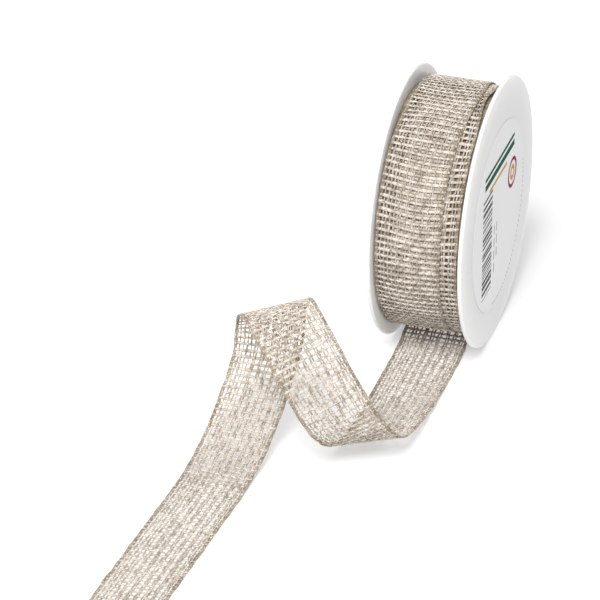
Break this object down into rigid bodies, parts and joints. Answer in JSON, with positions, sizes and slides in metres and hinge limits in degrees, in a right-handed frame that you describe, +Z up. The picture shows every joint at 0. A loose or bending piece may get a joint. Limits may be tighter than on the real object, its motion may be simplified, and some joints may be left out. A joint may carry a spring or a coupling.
{
  "type": "ribbon spool",
  "caption": "Two-flange plastic reel wound with open-weave linen ribbon; the loose end makes one standing curl and runs out on the table.",
  "frame": {"origin": "middle of the spindle bore, halfway between the flanges", "axes": "+X along the bore towards the labelled flange, -Y the way the loose ribbon runs out, +Z up"},
  "size_m": [0.0826, 0.2727, 0.1],
  "materials": {
    "reel_plastic": "satin moulded polystyrene",
    "core_plastic": "plain tube",
    "label_paper": "smooth printed paper",
    "tape": "adhesive tape",
    "linen": "open-weave flax yarn"
  },
  "bodies": {
    "loose_ribbon": {"ribbon_tail_lead": "linen", "ribbon_tail_curl": "linen", "ribbon_tail_end": "linen"},
    "reel": {"flange_left": "reel_plastic", "flange_right": "reel_plastic", "core_tube": "core_plastic", "label": "label_paper", "starter_tape": "tape", "ribbon_winding": "linen", "ribbon_top_turn": "linen"}
  },
  "joints": [
    {"name": "reel_spin", "type": "hinge", "parent": "loose_ribbon", "child": "reel", "pos_m": [0, 0, 0], "axis": [1, 0, 0], "continuous": true}
  ]
}
